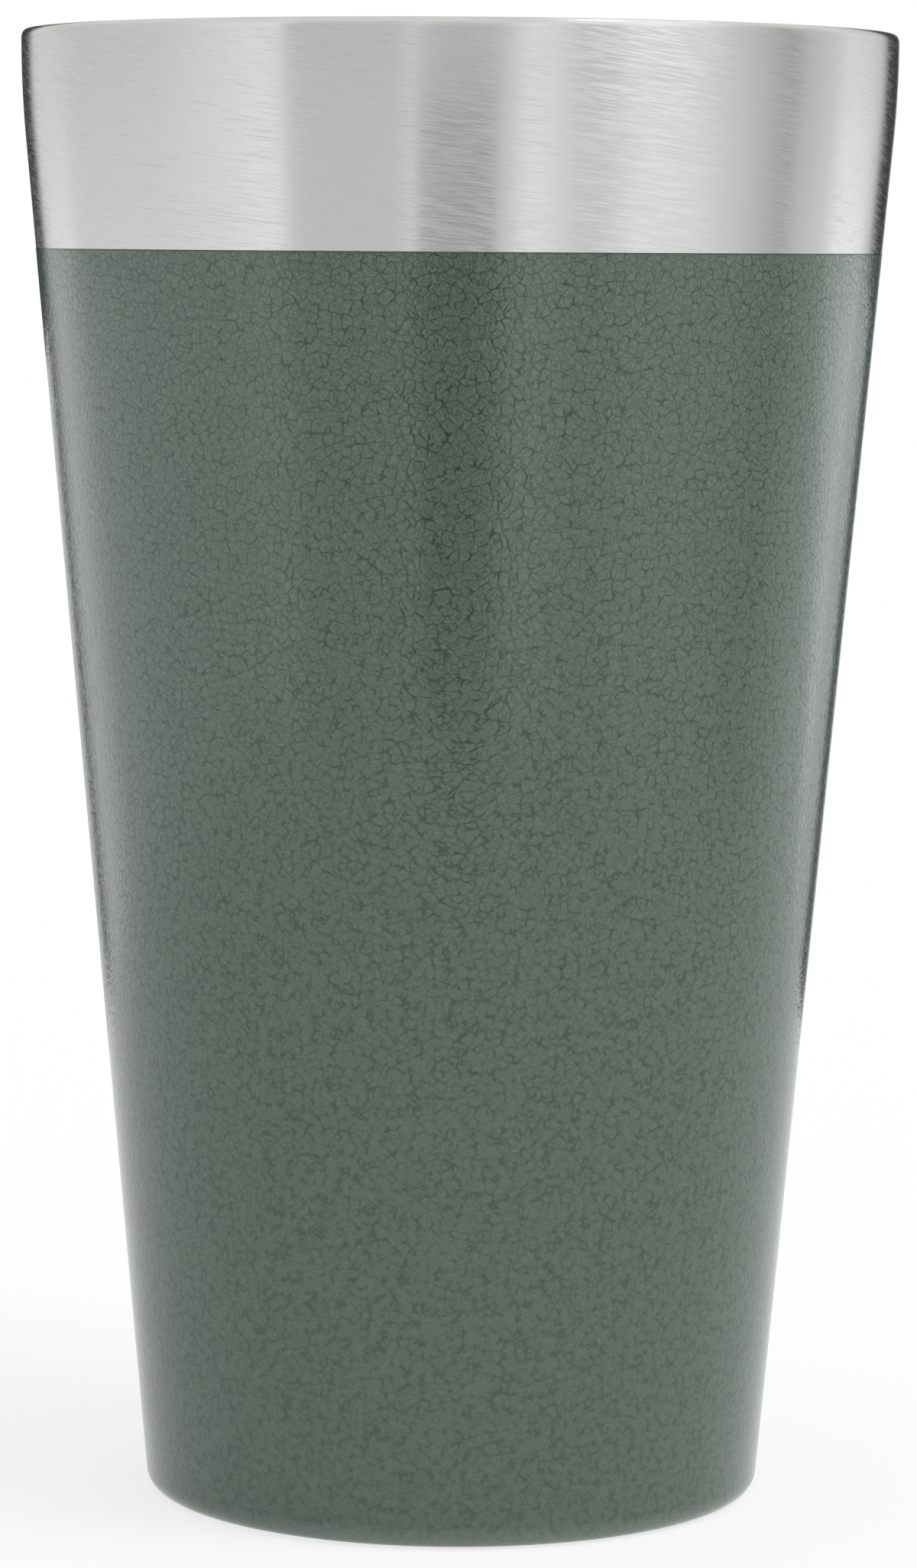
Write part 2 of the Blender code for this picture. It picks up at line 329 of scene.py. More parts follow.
# Brushed stainless steel: bright, with dull short streaks, and light that spreads up and down the band.
band_metal = brushed_steel(
    "brushed stainless steel",
    BAND_STEEL,
    roughness=0.2,
    scatter=2.6,
    streak_length=3 * MM,
    streak_width=0.09 * MM,
    lead=BRUSH_LEAD,
)
band = add_piece("bare_band", turned(band_section, steps=256), band_metal)
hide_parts("outer_shell")

# Outer shell, painted part: the rest of the wall, turned in at the foot to a ring that stands on the table.
# It is sprayed with a green hammertone enamel, which draws up into rounded cells with dark cracks between
# them as it dries. The paint is masked to a straight edge under the band, where it stands up as a fine bead.
BASE_CORNER = 2 * MM
FOOT_WIDTH = 4 * MM
FOOT_TURN = 1 * MM
COLLAR_LAP = 3 * MM  # the collar's reach above the lower edge of the vacuum base
PAINT_FILM = 0.03 * MM
EDGE_BEAD = ((0.8, 0.02 * MM), (1.2, 0.08 * MM), (1.0, 0.2 * MM))  # thickness in films, depth below the edge
MASK_LINE = (0.3 * MM, 0.05 * MM)  # depths below the edge between which the paint darkens
CELL_SIZE = 1.05 * MM
CELL_RELIEF = 0.011 * MM
CELL_DRIFT = 2.4 * MM  # stretch over which the cells' outlines wander
CELL_SHIFT = 1.8 * MM  # how far they wander
CORNER_CUT = 0.05 * MM
DOME_EDGE = (-0.05 * MM, 0.22 * MM)  # insets from a cell's outline between which its dome rises
RIM_EDGE = (0.07 * MM, 0.28 * MM)  # insets between which the painted highlight on its rim fades
CRACK_START = -0.01 * MM
BEAD_SPACING = 1.15 * MM
BEAD_RADIUS = 0.4 * MM
BEAD_SHORTFALL = 0.1 * MM  # below no size at all, where no bead forms
PATCH_SIZE = 0.9 * MM  # of the patches with deeper cracks
GRAIN_SIZE = 0.3 * MM
FLOOR_REFLECTION_FADE = (0.4 * MM, 2.4 * MM)  # heights between which the painted reflection of the floor on the foot's corner fades
SEAM_ANGLE = math.radians(149)  # from straight ahead to where the front's cells meet the back's
SEAM_WAVE = 0.1  # radians by which that seam wanders
BACK_START = 7.0  # radians added at the back, past any angle at the front, so that its cells are others
PAINT_DEEP = "#374A3E"
PAINT_PALE = "#5C6B5F"
PAINT_RIM_HIGHLIGHT = "#57675B"
PAINT_CRACK_AND_SHADE = "#122E1B"
PAINT_FLOOR_REFLECTION = "#87938A"

foot_outer = wall_radius(BASE_CORNER, BASE_CORNER)
collar_radius = foot_outer - FOOT_WIDTH - FOOT_TURN
collar_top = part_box("vacuum_base")[0].z + COLLAR_LAP

wall_section = [(wall_radius(paint_edge), paint_edge)]
for films, drop in EDGE_BEAD:
    height = paint_edge - drop
    wall_section.append((wall_radius(height) + films * PAINT_FILM, height))
wall_section += arc((foot_outer, BASE_CORNER), BASE_CORNER, -taper, -90, facets=14)
wall_section += arc((collar_radius + FOOT_TURN, FOOT_TURN), FOOT_TURN, -90, -180, facets=8)
wall_section += [(collar_radius, collar_top), (collar_radius + SHELL_SHEET, collar_top)]
wall_section += arc((collar_radius + FOOT_TURN, FOOT_TURN), FOOT_TURN - SHELL_SHEET, -180, -90, facets=4)
wall_section += arc((foot_outer, BASE_CORNER), BASE_CORNER - SHELL_SHEET, -90, -taper, facets=6)
wall_section.append((wall_radius(paint_edge, SHELL_SHEET), paint_edge))

# Hammertone enamel: semi-gloss domed cells of 0.5 to 2 mm with a fine grain, with a painted highlight on
# their rims, and dark green in the cracks between them, partly the flake-free paint's own colour and partly
# painted shade in the valleys.
enamel, tree, shader = start_material("green hammertone enamel")
place = node(tree, "TexCoord").outputs["Object"]
axes = node(tree, "SeparateXYZ", {0: place}).outputs
flat = node(tree, "VectorMath", {0: place, 1: (1, 1, 0)}, operation="MULTIPLY")
from_axis = node(tree, "VectorMath", {0: flat}, operation="LENGTH")
wander = node(tree, "TexNoise", {"Vector": place, "Scale": 1 / CELL_DRIFT, "Detail": 3.0, "Roughness": 0.6})

# The cells lie on the wall's cone rolled out flat. Their run from its apex also counts the way in from the
# axis, so that they go on under the foot. The front's cells and the back's meet along a wandering crack.
mirrored_x = node(tree, "Math", {0: axes["X"], 1: -1.0}, operation="MULTIPLY")
mirrored_y = node(tree, "Math", {0: axes["Y"], 1: -1.0}, operation="MULTIPLY")
from_front = node(tree, "Math", {0: axes["X"], 1: mirrored_y}, operation="ARCTAN2")
from_back = node(tree, "Math", {0: mirrored_x, 1: axes["Y"]}, operation="ARCTAN2")
away = node(tree, "Math", {0: from_front}, operation="ABSOLUTE")
wavy_away = node(tree, "Math", {0: wander, 1: SEAM_WAVE, 2: away}, operation="MULTIPLY_ADD")
at_back = node(tree, "Math", {0: wavy_away, 1: SEAM_ANGLE}, operation="GREATER_THAN")
back_turn = node(tree, "Math", {0: from_back, 1: BACK_START}, operation="ADD")
turn = node(tree, "Mix", {"Factor": at_back, "A": from_front, "B": back_turn}, data_type="FLOAT")
spread = node(tree, "Math", {0: turn, 1: math.sin(WALL_TAPER)}, operation="MULTIPLY")
slant = 1 / math.cos(WALL_TAPER) - math.tan(WALL_TAPER)
apex_run = wall_radius(0.0) / math.sin(WALL_TAPER) - wall_radius(0.0)
from_height = node(tree, "Math", {0: axes["Z"], 1: slant, 2: from_axis}, operation="MULTIPLY_ADD")
run = node(tree, "Math", {0: from_height, 1: apex_run}, operation="ADD")
rolled = []
for way in ("SINE", "COSINE"):
    part = node(tree, "Math", {0: spread}, operation=way)
    rolled.append(node(tree, "Math", {0: part, 1: run}, operation="MULTIPLY"))
sheet = node(tree, "CombineXYZ", {"X": rolled[0], "Y": rolled[1]})
centred = node(tree, "VectorMath", {0: wander.outputs["Color"], 1: (0.5, 0.5, 0.5)}, operation="SUBTRACT")
shift = node(tree, "VectorMath", {0: centred, "Scale": CELL_SHIFT}, operation="SCALE")
drifted = node(tree, "VectorMath", {0: sheet, 1: shift}, operation="ADD")
cell_middle, cell_edge, bead = [
    node(tree, "TexVoronoi", {"Vector": drifted, "Scale": 1 / size}, voronoi_dimensions="2D", feature=rank)
    for size, rank in ((CELL_SIZE, "F1"), (CELL_SIZE, "DISTANCE_TO_EDGE"), (BEAD_SPACING, "F1"))
]
rounding = node(
    tree,
    "MapRange",
    {"Value": cell_middle, "From Min": 0.35, "From Max": 0.8, "To Min": 0.0, "To Max": -CORNER_CUT},
)
cell = node(tree, "Math", {0: cell_edge, 1: CELL_SIZE, 2: rounding}, operation="MULTIPLY_ADD")

# Small round beads of enamel sit among the cells, each with a crack round it.
bead_reach = node(
    tree,
    "MapRange",
    {
        "Value": bead.outputs["Color"],
        "From Min": 0.4,
        "From Max": 0.8,
        "To Min": BEAD_SHORTFALL,
        "To Max": -BEAD_RADIUS,
    },
)
outside = node(tree, "Math", {0: bead, 1: BEAD_SPACING, 2: bead_reach}, operation="MULTIPLY_ADD")
inside = node(tree, "Math", {0: outside, 1: -1.0}, operation="MULTIPLY")
off_seam = node(tree, "Math", {0: wavy_away, 1: SEAM_ANGLE}, operation="SUBTRACT")
aside = node(tree, "Math", {0: off_seam}, operation="ABSOLUTE")
seam = node(tree, "Math", {0: aside, 1: from_axis}, operation="MULTIPLY")
split = node(tree, "Math", {0: cell, 1: seam}, operation="MINIMUM")
between = node(tree, "Math", {0: split, 1: outside}, operation="MINIMUM")
inset = node(tree, "Math", {0: between, 1: inside}, operation="MAXIMUM")

# The cracks are deep in patches, and the paint is darkened along a thin line just below the masked edge.
patches = node(tree, "TexNoise", {"Vector": place, "Scale": 1 / PATCH_SIZE, "Detail": 2.0})
blot = node(tree, "MapRange", {"Value": patches, "From Min": 0.35, "From Max": 0.65})
blotted = node(tree, "Math", {0: inset, 1: blot}, operation="ADD")
crack = node(
    tree,
    "MapRange",
    {"Value": blotted, "From Min": CRACK_START, "To Min": 1.0, "To Max": 0.0},
    interpolation_type="SMOOTHSTEP",
)
dome = node(
    tree,
    "MapRange",
    {"Value": inset, "From Min": DOME_EDGE[0], "From Max": DOME_EDGE[1], "To Min": 0.0, "To Max": 1.0},
    interpolation_type="SMOOTHSTEP",
)
# Painted highlight: each cell's rim is lightened where its domed edge would catch the light.
rim = node(
    tree,
    "MapRange",
    {"Value": inset, "From Min": RIM_EDGE[0], "From Max": RIM_EDGE[1], "To Min": 0.35, "To Max": 0.0},
    interpolation_type="SMOOTHSTEP",
)
depth = node(tree, "MapRange", {"Value": patches, "From Min": 0.35, "From Max": 0.65})
faded = node(tree, "Math", {0: crack, 1: depth}, operation="MULTIPLY")
mask_line = node(
    tree,
    "MapRange",
    {
        "Value": axes["Z"],
        "From Min": paint_edge - MASK_LINE[0],
        "From Max": paint_edge - MASK_LINE[1],
        "To Min": 0.0,
        "To Max": 0.7,
    },
)
crack_and_shade_tone = node(tree, "Math", {0: faded, 1: mask_line}, operation="MAXIMUM")
fine = node(tree, "TexNoise", {"Vector": place, "Scale": 1 / GRAIN_SIZE, "Detail": 3.0})
speckle = node(tree, "MapRange", {"Value": fine})

# The film thins out towards the foot: there its cracks are shallower and softer, and its grain is fainter.
for socket, at_foot, at_band in (
    (blot.inputs["To Min"], 0.14 * MM, 0.0),
    (blot.inputs["To Max"], -0.06 * MM, 0.0),
    (crack.inputs["From Max"], 0.36 * MM, 0.11 * MM),
    (depth.inputs["To Min"], 0.1, 0.4),
    (depth.inputs["To Max"], 0.55, 1.0),
    (speckle.inputs["From Min"], 0.1, 0.33),
    (speckle.inputs["From Max"], 0.9, 0.67),
):
    film = {"Value": axes["Z"], "From Max": paint_edge, "To Min": at_foot, "To Max": at_band}
    tree.links.new(node(tree, "MapRange", film).outputs[0], socket)
body = node(
    tree,
    "Mix",
    {"Factor": speckle, "A": linear(PAINT_DEEP), "B": linear(PAINT_PALE)},
    data_type="RGBA",
)
rim_highlighted = node(tree, "Mix", {"Factor": rim, "A": body, "B": linear(PAINT_RIM_HIGHLIGHT)}, data_type="RGBA")
# The cracks' dark green is partly the paint's own colour and partly painted shade in their valleys.
cracked_and_shaded = node(tree, "Mix", {"Factor": crack_and_shade_tone, "A": rim_highlighted, "B": linear(PAINT_CRACK_AND_SHADE)}, data_type="RGBA")

# The foot's rounded corner is painted paler, as a painted reflection of the white floor.
floor_reflection_share = node(
    tree,
    "MapRange",
    {"Value": axes["Z"], "From Min": FLOOR_REFLECTION_FADE[0], "From Max": FLOOR_REFLECTION_FADE[1], "To Min": 0.5, "To Max": 0.0},
)
with_floor_reflection = node(tree, "Mix", {"Factor": floor_reflection_share, "A": cracked_and_shaded, "B": linear(PAINT_FLOOR_REFLECTION)}, data_type="RGBA")
swell = node(tree, "Math", {0: speckle, 1: 0.12, 2: dome}, operation="MULTIPLY_ADD")
relief = node(tree, "Bump", {"Height": swell, "Strength": 1.0, "Distance": CELL_RELIEF})
feed(shader, {"Base Color": with_floor_reflection, "Normal": relief, "Roughness": 0.13, "IOR": 1.6})

wall = add_piece("painted_wall", turned(wall_section, steps=320), enamel)
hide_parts("outer_shell")

# Lip: the weld that closes the two walls at the mouth. It is laid without filler, ground to an oval bead
# that is flush with both sheets, and polished.
lip_crown = cad_high.z - sheet_edge
lip_half = (rim_radius - lip_radius + LINER_SHEET) / 2
lip_section = [
    (rim_radius - lip_half + lip_half * x, sheet_edge + lip_crown * y)
    for x, y in arc((0, 0), 1, 0, 180, facets=20)
]
# Polished weld steel: brighter and smoother than the band, so that the lip shows as a thin light line.
lip_metal = brushed_steel(
    "polished weld steel",
    LINER_STEEL,
    roughness=0.2,
    scatter=1.4,
    streak_length=6 * MM,
    streak_width=0.12 * MM,
    lead=2 * MM,
)
lip = add_piece("lip_bead", turned(lip_section, steps=256), lip_metal)
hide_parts("rim_weld")

# Getter strap: a strip of thin stainless steel that is bent over the getter disc and holds it.
# A spot weld fixes each of its feet to the vacuum base.
STRAP_SHEET = 0.3 * MM
STRAP_FOOT = 3.5 * MM
STRAP_BEND = 0.6 * MM
MILL_GRAIN_LENGTH = 6.5 * MM
MILL_GRAIN_WIDTH = 0.25 * MM  # coarser than the real grain, so that it shows
MILL_DARK = "#ABAAA7"
MILL_PALE = "#C0BFBC"

strap_low, strap_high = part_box("getter_holder")
strap_leg = strap_high.x - STRAP_FOOT
strap_top = strap_high.z - strap_low.z
strap_path = [(-strap_high.x, STRAP_SHEET), (-strap_leg, STRAP_SHEET), (-strap_leg, strap_top)]
strap_path += [(-along, height) for along, height in reversed(strap_path)]
strap_bm = bmesh.new()
corners = [strap_bm.verts.new((along, strap_low.y, strap_low.z + height)) for along, height in strap_path]
edges = [strap_bm.edges.new(pair) for pair in zip(corners, corners[1:])]
side = bmesh.ops.extrude_edge_only(strap_bm, edges=edges)["geom"]
far_side = [item for item in side if isinstance(item, bmesh.types.BMVert)]
bmesh.ops.translate(strap_bm, verts=far_side, vec=(0, strap_high.y - strap_low.y, 0))
bends = [edge for edge in strap_bm.edges if len(edge.link_faces) == 2]
bmesh.ops.bevel(
    strap_bm, geom=bends, offset=STRAP_BEND, segments=6, profile=0.5, affect="EDGES", material=-1
)
bmesh.ops.recalc_face_normals(strap_bm, faces=strap_bm.faces)

# Mill steel: cold-rolled stainless strip as it left the mill, dull grey with a fine rolling grain along X.
mill_metal, tree, shader = start_material("mill-finish stainless steel")
place = node(tree, "TexCoord").outputs["Object"]
grain_scale = (1 / MILL_GRAIN_LENGTH, 1 / MILL_GRAIN_WIDTH, 1 / MILL_GRAIN_WIDTH)
stretched = node(tree, "Mapping", {"Vector": place, "Scale": grain_scale})
rolling = node(tree, "TexNoise", {"Vector": stretched, "Scale": 1.0, "Detail": 3.0})
rough = node(tree, "MapRange", {"Value": rolling, "To Min": 0.32, "To Max": 0.52})
shade = node(
    tree, "Mix", {"Factor": rolling, "A": linear(MILL_DARK), "B": linear(MILL_PALE)}, data_type="RGBA"
)
feed(shader, {"Base Color": shade, "Roughness": rough, "Metallic": 1.0})
strap = add_piece("getter_strap", strap_bm, mill_metal)
thickness = strap.modifiers.new("strip", "SOLIDIFY")
thickness.thickness = STRAP_SHEET
thickness.offset = -1.0
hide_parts("getter_holder")

# Getter disc: getter alloy pressed from powder and sintered, with rounded edges and dished faces.
# It lies under the strap, where it soaks up stray gas and keeps the vacuum for years.
PELLET_SIDES = 64
PELLET_CHAMFER = 0.3 * MM
PELLET_RIM = 0.6 * MM
PELLET_DISH = 0.15 * MM
POWDER_SIZE = 0.15 * MM  # coarser than the real powder, so that it shows
PIT_DEPTH = 0.03 * MM
GETTER_DARK = "#4B4C4E"
GETTER_PALE = "#717273"

pellet_low, pellet_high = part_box("getter_pellet")
pellet_middle = (pellet_low + pellet_high) / 2
pellet_bm = bmesh.new()
bmesh.ops.create_cone(
    pellet_bm,
    cap_ends=True,
    segments=PELLET_SIDES,
    radius1=pellet_high.x,
    radius2=pellet_high.x,
    depth=pellet_high.z - pellet_low.z,
)
rims = [edge for edge in pellet_bm.edges if abs(edge.verts[0].co.z - edge.verts[1].co.z) < MERGE_DISTANCE]
bmesh.ops.bevel(
    pellet_bm, geom=rims, offset=PELLET_CHAMFER, segments=3, profile=0.5, affect="EDGES", material=-1
)
bmesh.ops.recalc_face_normals(pellet_bm, faces=pellet_bm.faces)
caps = [face for face in pellet_bm.faces if len(face.verts) == PELLET_SIDES]
bmesh.ops.inset_region(pellet_bm, faces=caps, thickness=PELLET_RIM, depth=-PELLET_DISH, use_even_offset=True)
bmesh.ops.translate(pellet_bm, verts=pellet_bm.verts, vec=pellet_middle)

# Getter alloy: sintered powder, dark grey, dull and finely pitted.
pellet_metal, tree, shader = start_material("sintered getter alloy")
place = node(tree, "TexCoord").outputs["Object"]
grains = node(tree, "TexNoise", {"Vector": place, "Scale": 1 / POWDER_SIZE, "Detail": 3.0})
shade = node(
    tree, "Mix", {"Factor": grains, "A": linear(GETTER_DARK), "B": linear(GETTER_PALE)}, data_type="RGBA"
)
rough = node(tree, "MapRange", {"Value": grains, "To Min": 0.55, "To Max": 0.85})
pits = node(tree, "Bump", {"Height": grains, "Strength": 0.5, "Distance": PIT_DEPTH})
feed(shader, {"Base Color": shade, "Roughness": rough, "Normal": pits, "Metallic": 0.4})
pellet = add_piece("getter_disc", pellet_bm, pellet_metal)
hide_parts("getter_pellet")

# Vacuum base: a pressed disc of 0.6 mm stainless steel that closes the outer shell from below.
# Its skirt stands in the collar, and a dimple in the middle leads to the hole that the air is pumped out of.
BASE_SHEET = 0.6 * MM
SKIRT_CORNER = 1.2 * MM
SKIRT_HEIGHT = 2.6 * MM
DIMPLE_RADIUS = 6.5 * MM
DIMPLE_LAND = 2.2 * MM  # radius of the flat round the pump hole
DIMPLE_FACETS = 16
PUMP_HOLE = 0.8 * MM

disc_low, disc_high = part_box("vacuum_base")
skirt_radius = disc_high.x
web_top = disc_low.z + SKIRT_HEIGHT


def dimple_height(radius, drop=0.0):
    """Height of the pressed disc's upper face inside the skirt, or of a face a drop below it."""
    ease = min(max((radius - DIMPLE_LAND) / (DIMPLE_RADIUS - DIMPLE_LAND), 0.0), 1.0)
    ease = ease * ease * (3 - 2 * ease)
    return disc_high.z + (web_top - disc_high.z) * ease - drop


dimple_run = [PUMP_HOLE]
dimple_run += [
    DIMPLE_LAND + (DIMPLE_RADIUS - DIMPLE_LAND) * step / DIMPLE_FACETS for step in range(DIMPLE_FACETS + 1)
]
skirt_bend = (skirt_radius - SKIRT_CORNER, web_top - SKIRT_CORNER)
disc_section = [(radius, dimple_height(radius)) for radius in dimple_run]
disc_section += arc(skirt_bend, SKIRT_CORNER, 90, 0, facets=8)
disc_section += [(skirt_radius, disc_low.z), (skirt_radius - BASE_SHEET, disc_low.z)]
disc_section += arc(skirt_bend, SKIRT_CORNER - BASE_SHEET, 0, 90, facets=6)
disc_section += [(radius, dimple_height(radius, BASE_SHEET)) for radius in reversed(dimple_run)]
disc = add_piece("pressed_base", turned(disc_section, steps=128), mill_metal)
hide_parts("vacuum_base")

# Base weld: a fillet laid round the corner between the disc's skirt and the shell's collar.
# The pool froze in ripples as the cup turned under the torch, and the heat left a straw tint beside it.
RIPPLES = 150
RIPPLE_STEPS = 6
RIPPLE_HEIGHT = 0.05 * MM
RIPPLE_LAG = 2.5  # radians by which the middle of a ripple trails its ends
FILLET_CROWN = 0.08 * MM
FILLET_FACETS = 6
FACE_TOLERANCE = 0.01 * MM
TINT_SIZE = 1.5 * MM
WELD_BRIGHT = "#BDBAB4"
WELD_STRAW = "#A5906B"

fillet_low, fillet_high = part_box("base_weld")
fillet_outer = fillet_high.x
fillet_leg = fillet_high.z - fillet_low.z
fillet_section = [(fillet_outer, fillet_high.z)]
for step in range(FILLET_FACETS + 1):
    share = step / FILLET_FACETS
    fillet_section.append((fillet_outer - fillet_leg * (1 - share), fillet_high.z - fillet_leg * share))
fillet_bm = turned(fillet_section, steps=RIPPLES * RIPPLE_STEPS)
for corner in fillet_bm.verts:
    radius = math.hypot(corner.co.x, corner.co.y)
    share = (fillet_high.z - corner.co.z) / fillet_leg
    on_face = abs(fillet_outer - fillet_leg * (1 - share) - radius) < FACE_TOLERANCE
    if on_face:
        swell = 4 * share * (1 - share)
        turn_of_ripple = RIPPLES * math.atan2(corner.co.y, corner.co.x) + RIPPLE_LAG * swell
        rise = swell * (FILLET_CROWN + RIPPLE_HEIGHT * math.cos(turn_of_ripple)) / math.sqrt(2)
        outward = Vector((corner.co.x, corner.co.y, 0)).normalized()
        corner.co -= outward * rise + Vector((0, 0, rise))

# Weld steel: bright where the ripples froze, straw to brown where the heat tinted it.
fillet_metal, tree, shader = start_material("welded stainless steel")
place = node(tree, "TexCoord").outputs["Object"]
heat = node(tree, "TexNoise", {"Vector": place, "Scale": 1 / TINT_SIZE, "Detail": 2.0})
tint = node(
    tree, "Mix", {"Factor": heat, "A": linear(WELD_BRIGHT), "B": linear(WELD_STRAW)}, data_type="RGBA"
)
rough = node(tree, "MapRange", {"Value": heat, "To Min": 0.25, "To Max": 0.5})
feed(shader, {"Base Color": tint, "Roughness": rough, "Metallic": 1.0})
fillet = add_piece("base_fillet", fillet_bm, fillet_metal)
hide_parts("base_weld")

# Seal: a bead of solder glass that melted in the vacuum furnace, filled the dimple from below and ran up into
# the pump hole, where it closed the vacuum.
SEAL_RADIUS = 4.2 * MM
SEAL_SAG = 0.5 * MM
SEAL_ROOM = 0.05 * MM
SEAL_FACETS = 10
STUB_FLAT = 0.5 * MM  # radius of the flat on top of the stub in the pump hole
STUB_CHAMFER = 0.12 * MM
BUBBLE_SIZE = 0.5 * MM
GLASS_OLIVE = "#645F52"
GLASS_CLOUDED = "#7C776A"

seal_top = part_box("seal_bead")[1].z
seal_drop = BASE_SHEET + SEAL_ROOM
stub_radius = PUMP_HOLE - SEAL_ROOM
seal_section = [(0.0, seal_top), (STUB_FLAT, seal_top), (stub_radius, seal_top - STUB_CHAMFER)]
for step in range(SEAL_FACETS + 1):
    radius = stub_radius + (SEAL_RADIUS - stub_radius) * step / SEAL_FACETS
    seal_section.append((radius, dimple_height(radius, seal_drop)))
seal_rim = seal_section[-1][1]
for step in range(1, SEAL_FACETS + 1):
    angle = math.pi / 2 * step / SEAL_FACETS
    seal_section.append((SEAL_RADIUS * math.cos(angle), seal_rim - SEAL_SAG * math.sin(angle)))
seal_section[-1] = (0.0, seal_section[-1][1])

# Solder glass: dark olive, glossy where it flowed, with a few fine bubbles that cloud it.
seal_glass, tree, shader = start_material("fused solder glass")
place = node(tree, "TexCoord").outputs["Object"]
bubbles = node(tree, "TexNoise", {"Vector": place, "Scale": 1 / BUBBLE_SIZE, "Detail": 3.0})
cloud = node(
    tree, "Mix", {"Factor": bubbles, "A": linear(GLASS_OLIVE), "B": linear(GLASS_CLOUDED)}, data_type="RGBA"
)
gloss = node(tree, "MapRange", {"Value": bubbles, "To Min": 0.06, "To Max": 0.2})
feed(shader, {"Base Color": cloud, "Roughness": gloss, "IOR": 1.7})
seal = add_piece("glass_bead", turned(seal_section, steps=64), seal_glass)
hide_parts("seal_bead")

# Base cover: a plain pressed disc of stainless steel in the foot's recess, its rim turned up and pressed
# into the collar. Its face was spun against abrasive, which leaves faint rings round the centre.
COVER_SHEET = 0.5 * MM
COVER_CORNER = 0.9 * MM

cover_low, cover_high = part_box("base_cover")
cover_radius = cover_high.x
cover_bend = (cover_radius - COVER_CORNER, cover_low.z + COVER_CORNER)
cover_section = [(0.0, cover_low.z)]
cover_section += arc(cover_bend, COVER_CORNER, -90, 0, facets=10)
cover_section += [(cover_radius, cover_high.z), (cover_radius - COVER_SHEET, cover_high.z)]
cover_section += arc(cover_bend, COVER_CORNER - COVER_SHEET, 0, -90, facets=6)
cover_section.append((0.0, cover_low.z + COVER_SHEET))
# Spun stainless steel: a plain pale grey, with a soft sheen across the rings.
cover_metal = brushed_steel(
    "spun stainless steel",
    BAND_STEEL,
    roughness=0.28,
    scatter=1.8,
    streak_length=20 * MM,
    streak_width=0.18 * MM,
    lead=0.2 * MM,
)
cover = add_piece("cover_disc", turned(cover_section, steps=128), cover_metal)
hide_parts("base_cover")

# Floor: a pale matte floor that runs out of sight. The eye sees plain white mixed into it, also in the gloss
# of the cup, and the cup's shadow stays. From below it is clear, so that the foot shows.
FLOOR_RADIUS = 6.0
FLOOR_DROP = 0.1 * MM
FLOOR_WHITE = 0.75  # share of plain white that the eye sees
FLOOR_PALE = "#FDFDFD"
WHITE = "#FFFFFF"


def seen_by_eye(tree):
    """One for rays that come from the eye, straight or by way of gloss or glass, and nought for the rest."""
    path = node(tree, "LightPath").outputs
    seen = path["Is Camera Ray"]
    for ray in ("Is Glossy Ray", "Is Transmission Ray"):
        seen = node(tree, "Math", {0: seen, 1: path[ray]}, operation="MAXIMUM")
    return seen


floor_bm = bmesh.new()
bmesh.ops.create_circle(floor_bm, cap_ends=True, segments=96, radius=FLOOR_RADIUS)
bmesh.ops.translate(floor_bm, verts=floor_bm.verts, vec=(0, 0, -FLOOR_DROP))
floor_paint, tree, shader = start_material("pale floor")
tree.nodes.remove(shader)
lifted = node(tree, "Math", {0: seen_by_eye(tree), 1: FLOOR_WHITE}, operation="MULTIPLY")
matte = node(tree, "BsdfDiffuse", {"Color": linear(FLOOR_PALE)})
white = node(tree, "Emission", {"Color": linear(WHITE), "Strength": 1.0})
lit = node(tree, "MixShader", {0: lifted, 1: matte, 2: white})
back = node(tree, "NewGeometry").outputs["Backfacing"]
clear = node(tree, "BsdfTransparent")
either = node(tree, "MixShader", {0: back, 1: lit, 2: clear})
feed(tree.nodes["Material Output"], {"Surface": either})
floor = add_object("floor", floor_bm, floor_paint)

# Sky: an even white that lights the cup softly from all round, with less than full strength, because the key
# light gives the rest. The eye sees it as plain white.
SKY_SHARE = 0.7  # of the light on an open floor

world = bpy.data.worlds.new("white sky")
bpy.context.scene.world = world
world.use_nodes = True
tree = world.node_tree
strength = node(tree, "MapRange", {"Value": seen_by_eye(tree), "To Min": SKY_SHARE, "To Max": 1.0})
feed(tree.nodes["Background"], {"Color": linear(WHITE), "Strength": strength})

# Key light: a broad soft lamp high up on the right, which gives the cup's shadow a side.
# On the floor it comes to what the sky leaves over.
KEY_SPREAD = math.radians(35)
KEY_TILT = math.radians(40)  # from straight above
KEY_TURN = math.radians(65)  # from the camera's side round to the right

key_light = bpy.data.lights.new("key", "SUN")
key_light.angle = KEY_SPREAD
key_light.energy = (1 - SKY_SHARE) * math.pi / math.cos(KEY_TILT)
key = bpy.data.objects.new("key", key_light)
key.matrix_world = Matrix.Rotation(KEY_TURN, 4, "Z") @ Matrix.Rotation(KEY_TILT, 4, "X")
bpy.context.scene.collection.objects.link(key)

# Light tent: a round of lit cloth that only the gloss of the steel and the paint shows, with strip lights at
# the front and sides and a dark flag behind the cup on each side. Above them the cloth is plain white.
TENT_RADIUS = 0.32
TENT_HEIGHT = 0.75
FOOT_GLOW = 1.2  # of the cloth near the floor, against the rest
FOOT_FADE = (0.06, 0.14)  # heights between which that glow fades
TOP_FADE = (0.26, 0.36)  # heights between which the cloth turns plain white
# Degrees round the tent from the camera's side, positive to the right, and how bright the cloth is there
TENT_LIGHT = (
    (-175, 1.0),  # cloth behind the cup
    (-171, 0.05), (-147, 0.05),  # left flag
    (-141, 0.9), (-110, 0.8), (-81, 0.85),  # cloth on the left
    (-50, 1.15), (-45, 1.15),  # strip light
    (-41, 0.75), (-15, 0.75),
    (-12, 0.95), (-8, 0.95),  # narrow strip light
    (-4, 0.8), (11, 0.8),
    (16, 1.15), (21, 1.1),  # strip light
    (29, 0.8), (38, 0.8),
    (44, 1.0), (62, 0.95),  # wide strip light
    (76, 0.8), (90, 0.5), (95, 0.7),  # gap between two cloths
    (109, 0.9), (114, 1.0), (120, 0.95), (137, 0.8),  # strip light on the right
    (143, 0.05), (159, 0.05),  # right flag
    (164, 0.8),
)


